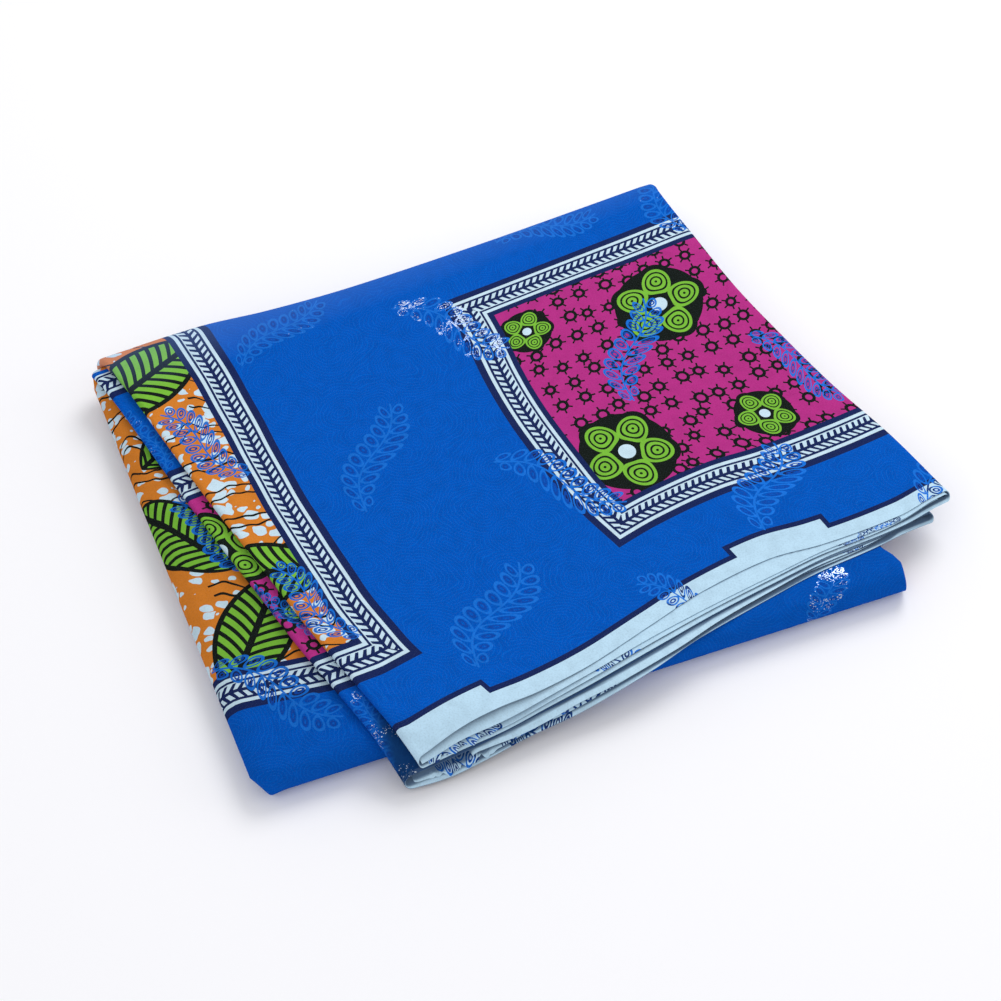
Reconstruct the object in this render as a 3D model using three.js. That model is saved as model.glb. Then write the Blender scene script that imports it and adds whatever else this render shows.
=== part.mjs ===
// Wax print fabric: one long cut of printed cotton, folded for the shelf.
//
// The cut is first folded along its length into two flat rolls of many leaves, one on the other. The pair is
// then folded across its width in three: a flap on top, a base under it, and a tail underneath. So each roll
// is one long rounded solid that runs back along the flap, down round the rear fold, forward through the base,
// down round the front fold and back again as the tail. At its front the flap is open, with the selvedges of
// its leaves fanned out. The flap lies a little askew, and overhangs the base at the front left and the right.
//
// Millimetres, +Z up, front towards -Y. Plan sizes are laid out from the middle of the base.

import * as THREE from 'three';

// Driving dimensions
const ROLL = 5.8;            // thickness of one flattened roll
const SEAM = 0.3;            // clearance between neighbouring solids
const LEAF_GAP = 0.6;        // clearance over and under a leaf in a roll's mouth
const LEAF = 1;               // wall of one leaf, or of a roll where it opens at the front
const MOUTH_DEPTH = 44;      // how far back the rolls are open between their leaves
const LEVEL_PITCH = ROLL + SEAM;

const REAR_AXIS_LEFT = 206;  // y of the rear fold's axis at its left and right ends
const REAR_AXIS_RIGHT = 215.5;
const FRONT_AXIS_LEFT = -133.5;
const FRONT_AXIS_RIGHT = -156.8;
const TAIL_SHORT = 10;       // how far short of the rear fold's ends the tail's rolls part into leaves

const LOWER_TUCK_LEFT = 10.5;   // how far the lower roll shows beyond the upper one, at its left fold
const LOWER_TUCK_RIGHT = 11;    // and how far it stays back at the front of the right fold
const FRONT_LEFT = -126;        // x of the flap's front corners
const FRONT_RIGHT = 262;

const SAG_FRONT = 0.068;     // fall of the flap past the base's front fold, per mm of overhang to the power below
const SAG_POWER = 1.6;
const SAG_FADES_FROM = 0.15; // the fall fades out between these fractions of the width
const SAG_FADES_TO = 0.5;
const SAG_RIGHT_UPPER = 0.014;  // fall of each roll past the base's right side
const SAG_RIGHT_LOWER = 0.036;
const SAG_RIGHT_POWER = 1.5;
const BASE_LEFT = -216;
const BASE_RIGHT = 213;
const LOOSE_GAP = 0.5;       // extra gap between the rolls where the flap falls

const GAPE_UPPER = 0.4;      // how far each roll gapes, per mm of that fall, and at most
const GAPE_UPPER_MOST = 5;
const GAPE_LOWER = 0.25;
const GAPE_LOWER_MOST = 4;
const GAPE_PEAK = 0.11;      // the upper roll's left fold stays shut: it gapes in full from this fraction across

const ACROSS = 15;           // steps across a roll between its rounded sides
const ROUND_STEPS = [0, 32, 62, 90];  // degrees round a side fold

// The upper roll's two side folds along the flap, at distances y from the middle of the base.
const FLAP_SIDES = [
  { y: -176, left: -125.5, right: 268 },
  { y: -142, left: -135.6, right: 268 },
  { y: -116, left: -142, right: 263 },
  { y: -65, left: -154, right: 255 },
  { y: -13, left: -164, right: 243 },
  { y: 43, left: -175, right: 234 },
  { y: 100, left: -185, right: 227 },
  { y: 173, left: -197, right: 224.5 },
  { y: 197, left: -202.5, right: 224 },
  { y: 216, left: -208, right: 224 },
];

// The front edge of the flap's topmost leaf, and how far the leaf below it and the lowest leaf reach past it.
const FRONT_EDGE = [
  { s: 0, y: -171, first: 2, fan: 5 },
  { s: 0.07, y: -163.6, first: 4, fan: 12 },
  { s: 0.14, y: -160, first: 6, fan: 13.7 },
  { s: 0.21, y: -158.6, first: 4, fan: 13 },
  { s: 0.31, y: -152.6, first: 4, fan: 18.6 },
  { s: 0.425, y: -141.5, first: 7, fan: 25 },
  { s: 0.525, y: -132, first: 11, fan: 25.5 },
  { s: 0.655, y: -126.4, first: 11, fan: 22.6 },
  { s: 0.75, y: -129.6, first: 4, fan: 14 },
  { s: 0.885, y: -129.5, first: 3, fan: 9.3 },
  { s: 1, y: -122.5, first: 2, fan: 6 },
];

// How far the rear fold stands out past the straight line between its ends.
const REAR_BOW = [
  { x: -216, out: 0 },
  { x: -135, out: 1 },
  { x: -85, out: -4.5 },
  { x: -25, out: -7.5 },
  { x: 75, out: -6 },
  { x: 150, out: -3 },
  { x: 213, out: 0 },
];

// The four stretches under the flap: which level of the stack each lies on, and where its side folds are.
const UNDER_SIDES = {
  base_top: { level: 3, rearLeft: -212, frontLeft: -215.5, rearRight: 219, frontRight: 209 },
  base_bottom: { level: 2, rearLeft: -211, frontLeft: -217, rearRight: 220, frontRight: 211 },
  tail_top: { level: 1, rearLeft: -212, frontLeft: -218, rearRight: 216, frontRight: 212.5 },
  tail_bottom: { level: 0, rearLeft: -210.5, frontLeft: -220.5, rearRight: 214, frontRight: 213.5 },
};

const MOUTH_STATIONS = [0, 6, 14, 24, 34, MOUTH_DEPTH];  // mm back from the front edge
const FLAP_STATIONS = [70, 110, 160, 220, 280, 330];
const FLAT_STEPS = 4;        // stations along the base and the tail
const TURN_STEPS = 7;        // stations round a fold

const FLAP_DEPTH = 344;      // from the front edge to the rear fold's axis, along the middle

const lerp = THREE.MathUtils.lerp;
const clamp = THREE.MathUtils.clamp;
const smoothstep = THREE.MathUtils.smoothstep;
const radians = THREE.MathUtils.degToRad;

// A smooth curve through a table's rows: column `value` against column `key`.
function curve(rows, key, value, at) {
  let i = 0;
  while (i < rows.length - 2 && at > rows[i + 1][key]) {
    i += 1;
  }
  const before = rows[Math.max(i - 1, 0)];
  const from = rows[i];
  const to = rows[i + 1];
  const after = rows[Math.min(i + 2, rows.length - 1)];
  const span = to[key] - from[key];
  const t = clamp((at - from[key]) / span, 0, 1);
  const slopeFrom = (to[value] - before[value]) / (to[key] - before[key]) * span;
  const slopeTo = (after[value] - from[value]) / (after[key] - from[key]) * span;
  const t2 = t * t;
  const t3 = t2 * t;
  return (2 * t3 - 3 * t2 + 1) * from[value] + (t3 - 2 * t2 + t) * slopeFrom
    + (3 * t2 - 2 * t3) * to[value] + (t3 - t2) * slopeTo;
}

const levelFloor = (level) => level * LEVEL_PITCH;

// Fractions of the flap's front width and of the base's width at x.
const frontFraction = (x) => clamp((x - FRONT_LEFT) / (FRONT_RIGHT - FRONT_LEFT), 0, 1);
const baseFraction = (x) => clamp((x - BASE_LEFT) / (BASE_RIGHT - BASE_LEFT), 0, 1);

// The y of the two folds' axes, and of the tail's end, at x.
const straightRear = (x) => lerp(REAR_AXIS_LEFT, REAR_AXIS_RIGHT, baseFraction(x));
const rearAxis = (x) => straightRear(x) + curve(REAR_BOW, 'x', 'out', x);
const frontAxis = (x) => lerp(FRONT_AXIS_LEFT, FRONT_AXIS_RIGHT, baseFraction(x));
const tailEnd = (x) => straightRear(x) - TAIL_SHORT;

// Fall of the flap where nothing carries it: past the base's front fold, and past its right side.
function frontSag(x, y) {
  const past = Math.max(frontAxis(x) - y, 0);
  const held = smoothstep(frontFraction(x), SAG_FADES_FROM, SAG_FADES_TO);
  return SAG_FRONT * past ** SAG_POWER * (1 - held);
}
const sideSag = (x, rate) => rate * Math.max(x - BASE_RIGHT, 0) ** SAG_RIGHT_POWER;

const UPPER = 'upper';
const LOWER = 'lower';

// The two side folds of a roll on the flap.
function flapSides(roll, y) {
  const left = curve(FLAP_SIDES, 'y', 'left', y);
  const right = curve(FLAP_SIDES, 'y', 'right', y);
  if (roll === UPPER) {
    return { left, right };
  }
  const tuck = LOWER_TUCK_RIGHT * smoothstep(-y, -160, 60);
  return { left: left - LOWER_TUCK_LEFT, right: right - 3 - tuck };
}

// Underside and top of a roll at a place in plan on the flap. The rolls gape where the flap falls.
function flapHeights(roll, x, y) {
  const fall = frontSag(x, y);
  const gapeLower = Math.min(GAPE_LOWER * fall, GAPE_LOWER_MOST);
  const gapeUpper = Math.min(GAPE_UPPER * fall, GAPE_UPPER_MOST) * smoothstep(frontFraction(x), 0, GAPE_PEAK);
  const lowerFloor = levelFloor(4) - fall - sideSag(x, SAG_RIGHT_LOWER);
  const lowerTop = lowerFloor + ROLL + gapeLower;
  if (roll === LOWER) {
    return { floor: lowerFloor, top: lowerTop };
  }
  const spread = sideSag(x, SAG_RIGHT_LOWER) - sideSag(x, SAG_RIGHT_UPPER);
  const loose = LOOSE_GAP * Math.max(smoothstep(fall, 0, 4), smoothstep(x, BASE_RIGHT - 40, BASE_RIGHT));
  const floor = lowerTop + SEAM + spread + loose;
  return { floor, top: floor + ROLL + gapeUpper };
}

// How far a leaf's front edge lies past the topmost leaf's: rank 0 is the topmost leaf, rank 7 the lowest.
function reach(rank, s) {
  const first = curve(FRONT_EDGE, 's', 'first', s);
  const fan = curve(FRONT_EDGE, 's', 'fan', s);
  return rank === 0 ? 0 : lerp(first, fan, (rank - 1) / 6);
}

const TOP_RANK = { upper: 0, lower: 4 };
const BOTTOM_RANK = { upper: 3, lower: 7 };

// Places across a roll from tip to tip: s across, the rise of the rounded side there, and x.
function placesAcross(left, right, halfLeft, halfRight) {
  const places = [];
  for (const degrees of ROUND_STEPS) {
    const angle = radians(degrees);
    places.push({ x: left + halfLeft * (1 - Math.cos(angle)), rise: Math.sin(angle) });
  }
  for (let i = 1; i < ACROSS; i += 1) {
    places.push({ x: lerp(left + halfLeft, right - halfRight, i / ACROSS), rise: 1 });
  }
  for (const degrees of [...ROUND_STEPS].reverse()) {
    const angle = radians(degrees);
    places.push({ x: right - halfRight * (1 - Math.cos(angle)), rise: Math.sin(angle) });
  }
  for (const place of places) {
    place.s = (place.x - left) / (right - left);
  }
  return places;
}

// Plan of one ring on the flap: its places across, d back from the front edge.
function flapRow(roll, d) {
  const share = d / FLAP_DEPTH;
  const rear = flapSides(roll, REAR_AXIS_LEFT);
  const yAt = (s) => lerp(curve(FRONT_EDGE, 's', 'y', s), rearAxis(lerp(rear.left, rear.right, s)), share);
  const { left } = flapSides(roll, yAt(0));
  const { right } = flapSides(roll, yAt(1));
  const half = (x, s) => {
    const heights = flapHeights(roll, x, yAt(s));
    return (heights.top - heights.floor) / 2;
  };
  const places = placesAcross(left, right, half(left, 0), half(right, 1));
  const forward = 1 - smoothstep(d, 0, MOUTH_DEPTH);
  return places.map((place) => ({ ...place, y: yAt(place.s), forward }));
}

// One ring of points round a roll on the flap, d back from the front edge. A wall above 0 gives the inner
// ring of the open mouth.
function flapRing(roll, d, wall) {
  const row = flapRow(roll, d);
  const first = row[0].x;
  const last = row[row.length - 1].x;
  const top = [];
  const bottom = [];
  for (const { s, y, rise, forward } of row) {
    const x = lerp(first + wall, last - wall, s);
    const topY = y - reach(TOP_RANK[roll], s) * forward;
    const bottomY = y - reach(BOTTOM_RANK[roll], s) * forward;
    const roof = flapHeights(roll, x, topY).top - wall;
    const floor = flapHeights(roll, x, bottomY).floor + wall;
    const tipY = (topY + bottomY) / 2;
    const tipZ = (roof + floor) / 2;
    top.push(new THREE.Vector3(x, lerp(tipY, topY, rise), lerp(tipZ, roof, rise)));
    bottom.push(new THREE.Vector3(x, lerp(tipY, bottomY, rise), lerp(tipZ, floor, rise)));
  }
  return { top, bottom };
}

// One ring round a roll in a fold or a flat stretch. `axis` gives the fold's y at x, `radius` is from that
// axis to the roll's middle, and `angle` is 0 straight up and grows towards the fold's outer side.
function turnedRing({ axis, axisZ, radius, angle, side, left, right }) {
  const places = placesAcross(left, right, ROLL / 2, ROLL / 2);
  const top = [];
  const bottom = [];
  const away = side * Math.sin(angle);
  const up = Math.cos(angle);
  for (const place of places) {
    const half = ROLL / 2 * place.rise;
    const y = axis(place.x);
    top.push(new THREE.Vector3(place.x, y + away * (radius + half), axisZ + up * (radius + half)));
    bottom.push(new THREE.Vector3(place.x, y + away * (radius - half), axisZ + up * (radius - half)));
  }
  return { top, bottom };
}

// The rings of a fold, from the stretch above the axis to the stretch under it. `bulge` is how far its two
// ends stand out.
function foldRings(axis, axisZ, radius, side, from, to, bulge) {
  const rings = [];
  for (let i = 0; i <= TURN_STEPS; i += 1) {
    const t = i / TURN_STEPS;
    const blend = smoothstep(t, 0, 1);
    rings.push(turnedRing({
      axis,
      axisZ,
      radius,
      angle: Math.PI * t,
      side,
      left: lerp(from.left, to.left, blend) - bulge.left * Math.sin(Math.PI * t),
      right: lerp(from.right, to.right, blend) + bulge.right * Math.sin(Math.PI * t),
    }));
  }
  return rings;
}

// One ring round a flat stretch of the base or the tail, a fraction t of the way from the rear to the front.
// `angle` is half a turn where the rear fold has turned the roll over.
function flatRing(stretch, rearEnd, t, angle) {
  return turnedRing({
    axis: (x) => lerp(rearEnd(x), frontAxis(x), t),
    axisZ: levelFloor(stretch.level) + ROLL / 2,
    radius: 0,
    angle,
    side: 1,
    left: lerp(stretch.rearLeft, stretch.frontLeft, t),
    right: lerp(stretch.rearRight, stretch.frontRight, t),
  });
}

const rearSides = (stretch) => ({ left: stretch.rearLeft, right: stretch.rearRight });
const frontSides = (stretch) => ({ left: stretch.frontLeft, right: stretch.frontRight });

// The course of each roll under the flap: its base and tail, its place in each fold (0 inner, 1 outer), and how
// far each fold's ends stand out.
const COURSE = {
  upper: {
    base: UNDER_SIDES.base_bottom,
    tail: UNDER_SIDES.tail_top,
    rearPlace: 1,
    frontPlace: 0,
    rearBulge: { left: 4, right: -1 },
    frontBulge: { left: -1, right: -1 },
  },
  lower: {
    base: UNDER_SIDES.base_top,
    tail: UNDER_SIDES.tail_bottom,
    rearPlace: 0,
    frontPlace: 1,
    rearBulge: { left: -1, right: -1 },
    frontBulge: { left: -3, right: -3 },
  },
};

// All rings of one roll, from the floor of its mouth, out over its front edge and on to the tail's end.
function rollRings(roll) {
  const { base, tail, rearPlace, frontPlace, rearBulge, frontBulge } = COURSE[roll];
  const inner = (ROLL + SEAM) / 2;
  const rings = [];
  for (const d of [...MOUTH_STATIONS].reverse()) {
    rings.push(flapRing(roll, d, LEAF));
  }
  for (const d of [...MOUTH_STATIONS, ...FLAP_STATIONS]) {
    rings.push(flapRing(roll, d, 0));
  }
  const rearZ = levelFloor(4) - SEAM / 2;
  const rearRadius = inner + rearPlace * LEVEL_PITCH;
  const flapRear = flapSides(roll, REAR_AXIS_LEFT);
  rings.push(...foldRings(rearAxis, rearZ, rearRadius, 1, flapRear, rearSides(base), rearBulge));
  for (let i = 1; i < FLAT_STEPS; i += 1) {
    rings.push(flatRing(base, rearAxis, i / FLAT_STEPS, Math.PI));
  }
  const frontZ = levelFloor(2) - SEAM / 2;
  const frontRadius = inner + frontPlace * LEVEL_PITCH;
  const front = foldRings(frontAxis, frontZ, frontRadius, -1, frontSides(base), frontSides(tail), frontBulge);
  // The base lies turned over, so the front fold's rings are turned over to match it.
  rings.push(...front.map(({ top, bottom }) => ({ top: bottom, bottom: top })));
  for (let i = 1; i <= FLAT_STEPS; i += 1) {
    rings.push(flatRing(tail, tailEnd, 1 - i / FLAT_STEPS, 0));
  }
  return rings;
}

// A closed body through rings that share their two tip points: walls between rings, flat caps at both ends.
function bodyFromRings(rings) {
  const count = rings[0].top.length;
  const size = 2 * count - 2;
  const positions = [];
  for (const { top, bottom } of rings) {
    const loop = [...top, ...bottom.slice(1, -1).reverse()];
    for (const point of loop) {
      positions.push(point.x, point.y, point.z);
    }
  }
  const index = [];
  for (let r = 0; r < rings.length - 1; r += 1) {
    for (let i = 0; i < size; i += 1) {
      const a = r * size + i;
      const b = r * size + (i + 1) % size;
      index.push(a, b, b + size, a, b + size, a + size);
    }
  }
  // Each cap is a strip of triangles between the ring's upper and lower points.
  const end = (rings.length - 1) * size;
  for (let i = 0; i < count - 1; i += 1) {
    const upper = [i, i + 1];
    const lower = [(size - i) % size, size - i - 1];
    if (i > 0) {
      index.push(upper[0], lower[0], upper[1]);
      index.push(end + upper[0], end + upper[1], end + lower[0]);
    }
    if (i < count - 2) {
      index.push(upper[1], lower[0], lower[1]);
      index.push(end + upper[1], end + lower[1], end + lower[0]);
    }
  }
  const geometry = new THREE.BufferGeometry();
  geometry.setAttribute('position', new THREE.Float32BufferAttribute(positions, 3));
  geometry.setIndex(index);
  return geometry;
}

// A thin wall over a grid of middle points: rows run across, each point moved up and down half a leaf. Its side
// edges stand out by half a leaf, so that they are rounded off.
function wallFromGrid(grid) {
  const half = LEAF / 2;
  const rings = grid.map((row) => {
    const first = row[0];
    const last = row[row.length - 1];
    const leftTip = new THREE.Vector3(first.x - half, first.y, first.z);
    const rightTip = new THREE.Vector3(last.x + half, last.y, last.z);
    const face = (rise) => row.map((point) => new THREE.Vector3(point.x, point.y, point.z + rise));
    return {
      top: [leftTip, ...face(half), rightTip],
      bottom: [leftTip, ...face(-half), rightTip],
    };
  });
  return bodyFromRings(rings);
}

// One leaf inside a roll's mouth. `rank` orders the leaves of both rolls, and `lift` is its place between the
// mouth's floor and roof.
function mouthLeaf(roll, rank, lift) {
  const stations = MOUTH_STATIONS.map((d) => Math.min(d, MOUTH_DEPTH - SEAM));
  const grid = stations.map((d) => flapRow(roll, d).filter((place) => place.rise === 1).map((place) => {
    const y = place.y - reach(rank, place.s) * place.forward;
    const heights = flapHeights(roll, place.x, y);
    const floor = heights.floor + LEAF * 1.5 + LEAF_GAP;
    const roof = heights.top - LEAF * 1.5 - LEAF_GAP;
    return new THREE.Vector3(place.x, y, lerp(floor, roof, lift));
  }));
  return wallFromGrid(grid);
}

const TAIL_ACROSS = 18;
const TAIL_LEAF_REACH = [9, 6.5, 11, 8];   // how far each leaf's selvedge stands out at the tail's end

// The tail's selvedges: two leaves from each roll's end.
function tailLeaf(number) {
  const stretch = number < 2 ? UNDER_SIDES.tail_bottom : UNDER_SIDES.tail_top;
  const z = levelFloor(stretch.level) + (number % 2 === 0 ? LEAF / 2 : ROLL - LEAF / 2 - 1);
  const grid = [0, 1].map((t) => {
    const row = [];
    for (let i = 0; i <= TAIL_ACROSS; i += 1) {
      const s = i / TAIL_ACROSS;
      const x = lerp(stretch.rearLeft + 2, stretch.rearRight - 2, s);
      const wave = 1.2 * Math.sin(7 * s + 2 * number);
      const y = tailEnd(x) + SEAM + t * (TAIL_LEAF_REACH[number] + wave);
      row.push(new THREE.Vector3(x, y, z));
    }
    return row;
  });
  return wallFromGrid(grid);
}

const royalBlue = new THREE.MeshStandardMaterial({ color: 0x0a56b8, roughness: 0.62, metalness: 0 });
const deepBlue = new THREE.MeshStandardMaterial({ color: 0x0b4aa2, roughness: 0.62, metalness: 0 });
const selvedge = new THREE.MeshStandardMaterial({ color: 0xbfdff0, roughness: 0.7, metalness: 0 });

const cloth = new THREE.Group();

function addMesh(name, geometry, material) {
  const mesh = new THREE.Mesh(geometry, material);
  mesh.name = name;
  cloth.add(mesh);
}

addMesh('upper_roll', bodyFromRings(rollRings(UPPER)), royalBlue);
addMesh('lower_roll', bodyFromRings(rollRings(LOWER)), deepBlue);
addMesh('upper_leaf_1', mouthLeaf(UPPER, 1, 1), selvedge);
addMesh('upper_leaf_2', mouthLeaf(UPPER, 2, 0), selvedge);
addMesh('lower_leaf_1', mouthLeaf(LOWER, 5, 1), selvedge);
addMesh('lower_leaf_2', mouthLeaf(LOWER, 6, 0), selvedge);
for (let number = 0; number < TAIL_LEAF_REACH.length; number += 1) {
  addMesh(`tail_leaf_${number + 1}`, tailLeaf(number), selvedge);
}

// The origin is put at the middle of the underside.
const box = new THREE.Box3().setFromObject(cloth);
cloth.position.set(-(box.min.x + box.max.x) / 2, -(box.min.y + box.max.y) / 2, -box.min.z);

const fabric = new THREE.Group();
fabric.add(cloth);

export default fabric;
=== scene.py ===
"""A wax print fabric, folded for the shelf: one long cut of printed cotton with foil leaf sprigs."""

import math

import bpy
import numpy as np
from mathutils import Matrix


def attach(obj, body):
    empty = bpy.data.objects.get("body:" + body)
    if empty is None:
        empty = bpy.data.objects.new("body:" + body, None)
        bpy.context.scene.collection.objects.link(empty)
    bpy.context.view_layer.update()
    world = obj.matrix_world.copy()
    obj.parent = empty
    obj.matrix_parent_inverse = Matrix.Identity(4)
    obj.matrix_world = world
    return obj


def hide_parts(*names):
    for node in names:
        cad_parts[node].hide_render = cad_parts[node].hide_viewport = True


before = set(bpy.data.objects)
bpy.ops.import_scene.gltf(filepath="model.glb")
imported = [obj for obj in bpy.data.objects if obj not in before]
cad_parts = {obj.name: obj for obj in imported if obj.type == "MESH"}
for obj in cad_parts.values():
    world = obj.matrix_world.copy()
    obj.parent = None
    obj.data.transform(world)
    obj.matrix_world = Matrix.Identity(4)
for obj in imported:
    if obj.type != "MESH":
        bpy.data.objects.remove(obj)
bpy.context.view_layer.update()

# ------------------------------------------------------------------------------
# The two rolls. One long cut of wax print cotton is folded along its length into two flat rolls of many
# leaves. They lie one on the other, folded in three: a base, a tail turned under it and a flap over the top.
# Nothing is sewn. The cloth's weight and its pressed creases hold the folds.

# Their form, in millimetres in plan from the middle of the base.
ROLL = 5.8  # thickness of a roll
SEAM = 0.3  # gap between one roll and the next
PITCH = ROLL + SEAM
CLOTH = 0.55  # thickness of one leaf
MOUTH_DEPTH = 44  # how far a roll is open at the flap's front
FLAP_DEPTH = 344  # from the flap's front edge to the rear fold
BASE_SPAN = (-216, 213)  # left and right side of the base
REAR_ENDS = (206, 215.5)  # y of the rear fold's left and right end
FRONT_ENDS = (-133.5, -156.8)  # y of the front fold's left and right end
FLAP_FRONT = (-126, 262)  # left and right end of the flap's front edge
TAIL_SHORT = 10  # how far the tail stops short of the rear fold
MIDDLE = (21.9, 25.65)  # the middle of the whole object in plan
SIDE_POINTS = 8  # points on each rounded side of a roll
LOWER_SHOWS = 10.5  # how far the lower roll's left side lies outside the upper's
LOWER_HIDES = 3  # how far its right side lies inside at the rear
LOWER_HIDES_MORE = 11  # how much further at the front
HIDES_MORE_OVER = (-160, 60)  # the run of -y over which it does

# The flap's sides and front edge, and how the rear fold bows. "first" and "fan" are how far the edges of the
# second and the lowest leaf lie past the topmost's.
FLAP_SIDES = {
    "y": (-176, -142, -116, -65, -13, 43, 100, 173, 197, 216),
    "left": (-125.5, -135.6, -142, -154, -164, -175, -185, -197, -202.5, -208),
    "right": (268, 268, 263, 255, 243, 234, 227, 224.5, 224, 224),
}
FRONT_EDGE = {
    "s": (0, 0.07, 0.14, 0.21, 0.31, 0.425, 0.525, 0.655, 0.75, 0.885, 1),
    "y": (-168, -163, -160, -158.6, -152.6, -141.5, -132, -126.4, -129.6, -129.5, -122.5),
    "first": (2, 4, 6, 4, 4, 7, 11, 11, 4, 3, 2),
    "fan": (5, 12, 13.7, 13, 18.6, 25, 25.5, 22.6, 14, 10.5, 10),
}
REAR_BOW = {
    "x": (-216, -135, -85, -25, 75, 150, 213),
    "out": (0, 1, -4.5, -7.5, -6, -3, 0),
}
# The flat stretches under the flap: left and right side at each fold, how far the left side droops, and how
# much the right side is nipped in near the front fold.
STRETCHES = {
    "base_top": {"level": 3, "rear": (-216, 219), "front": (-220.5, 209), "droop": 7, "nip": 9},
    "base_bottom": {"level": 2, "rear": (-206, 220), "front": (-210, 211), "droop": 0, "nip": 10},
    "tail_top": {"level": 1, "rear": (-208, 216), "front": (-212, 212.5), "droop": 0, "nip": 2},
    "tail_bottom": {"level": 0, "rear": (-208.5, 214), "front": (-214, 213.5), "droop": 0, "nip": 0},
}


def mix(a, b, t):
    return a + (b - a) * t


def smooth(x, start, end):
    t = np.clip((x - start) / (end - start), 0, 1)
    return t * t * (3 - 2 * t)


def curve(table, key, value, at):
    """A smooth curve through a table's columns."""
    keys = np.array(table[key], float)
    values = np.array(table[value], float)
    at = np.asarray(at, float)
    i = np.searchsorted(keys[1:-1], at)
    before = np.maximum(i - 1, 0)
    after = np.minimum(i + 2, len(keys) - 1)
    span = keys[i + 1] - keys[i]
    t = np.clip((at - keys[i]) / span, 0, 1)
    slope_from = (values[i + 1] - values[before]) / (keys[i + 1] - keys[before]) * span
    slope_to = (values[after] - values[i]) / (keys[after] - keys[i]) * span
    return ((2 * t**3 - 3 * t**2 + 1) * values[i] + (t**3 - 2 * t**2 + t) * slope_from
            + (3 * t**2 - 2 * t**3) * values[i + 1] + (t**3 - t**2) * slope_to)


def base_fraction(x):
    return np.clip((x - BASE_SPAN[0]) / (BASE_SPAN[1] - BASE_SPAN[0]), 0, 1)


def front_fraction(x):
    return np.clip((x - FLAP_FRONT[0]) / (FLAP_FRONT[1] - FLAP_FRONT[0]), 0, 1)


def straight_rear(x):
    return mix(*REAR_ENDS, base_fraction(x))


def rear_axis(x):
    return straight_rear(x) + curve(REAR_BOW, "x", "out", x)


def front_axis(x):
    return mix(*FRONT_ENDS, base_fraction(x))


def tail_end(x):
    return straight_rear(x) - TAIL_SHORT


def flap_sides(roll, y):
    left = curve(FLAP_SIDES, "y", "left", y)
    right = curve(FLAP_SIDES, "y", "right", y)
    if roll == "upper":
        return left, right
    return left - LOWER_SHOWS, right - LOWER_HIDES - LOWER_HIDES_MORE * smooth(-y, *HIDES_MORE_OVER)


# Swells: each wave's height, its run along x and y for one radian, and its start. They calm down towards the
# rear fold, and the finest one away from the front.
CALM = {"rear": (5, 70), "front": (20, 130)}
SWELLS = (
    {"height": 0.35, "along_x": 47, "along_y": 90, "start": 0.6, "front_only": False},
    {"height": 0.3, "along_x": -120, "along_y": 38, "start": 0, "front_only": False},
    {"height": 0.12, "along_x": 17, "along_y": -23, "start": 1.2, "front_only": True},
)


def swell(x, y):
    """The soft rise and fall of the flap."""
    total = 0
    for wave in SWELLS:
        rise = wave["height"] * np.sin(x / wave["along_x"] + y / wave["along_y"] + wave["start"])
        if wave["front_only"]:
            rise = rise * smooth(-y, *CALM["front"])
        total = total + rise
    return total * smooth(rear_axis(x) - y, *CALM["rear"])


# How the front edge is pressed flat, how the flap sags past the base's front and right side, and how its
# rolls gape there. Pairs are where a change starts and is complete, in millimetres or shares of the edge.
PRESSED = {"share": 0.42, "back": (-18, 40), "starts": (0.12, 0.32), "stops": (0.9, 0.97)}
SAG = {"rate": 0.068, "power": 1.6, "fades": (0.15, 0.5)}
RIGHT_SAG = {"power": 1.5, "lower": 0.036, "upper": 0.022}
LOWER_GAPE = {"share": 0.25, "most": 4}
UPPER_GAPE = {"share": 0.4, "most": 5, "grows": (0, 0.11)}
LOOSE = {"gap": 0.5, "fall": (0, 4), "in": 40}


def flap_heights(roll, x, y):
    """Underside and top of a roll on the flap."""
    s = front_fraction(x)
    pinch = 1 - smooth(y - curve(FRONT_EDGE, "s", "y", s), *PRESSED["back"])
    pinch = pinch * smooth(s, *PRESSED["starts"]) * (1 - smooth(s, *PRESSED["stops"]))
    thick = ROLL * (1 - PRESSED["share"] * pinch)
    past = np.maximum(front_axis(x) - y, 0)
    fall = SAG["rate"] * past**SAG["power"] * (1 - smooth(s, *SAG["fades"]))
    past_right = np.maximum(x - BASE_SPAN[1], 0) ** RIGHT_SAG["power"]
    lower_floor = 4 * PITCH - fall - RIGHT_SAG["lower"] * past_right
    lower_gape = np.minimum(LOWER_GAPE["share"] * fall, LOWER_GAPE["most"])
    lower_top = lower_floor + thick + lower_gape + swell(x, y)
    if roll == "lower":
        return lower_floor, lower_top
    at_right = smooth(x, BASE_SPAN[1] - LOOSE["in"], BASE_SPAN[1])
    loose = LOOSE["gap"] * np.maximum(smooth(fall, *LOOSE["fall"]), at_right)
    floor = lower_top + SEAM + RIGHT_SAG["upper"] * past_right + loose
    upper_gape = np.minimum(UPPER_GAPE["share"] * fall, UPPER_GAPE["most"]) * smooth(s, *UPPER_GAPE["grows"])
    return floor, floor + thick + upper_gape


def lip(rank, x):
    """The y of a leaf's front edge."""
    s = front_fraction(x)
    return curve(FRONT_EDGE, "s", "y", s) - reach(rank, s)


# The painted shade in the gaps between leaves: how dark it is, where it starts and is full behind the lip
# above, and how much wider it is under the top two lips at the left.
LIP_SHADE = {"depth": 0.8, "starts": -0.4, "full": 0.9}
WIDE_LIP_SHADE = {"ranks": (1, 2), "more": 6, "fades": (0.08, 0.3)}
LOWEST_RANK = 7
LOWER_ROOF_RANK = 4
INNER_LEAVES_STOP = (0.86, 0.90)


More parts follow.
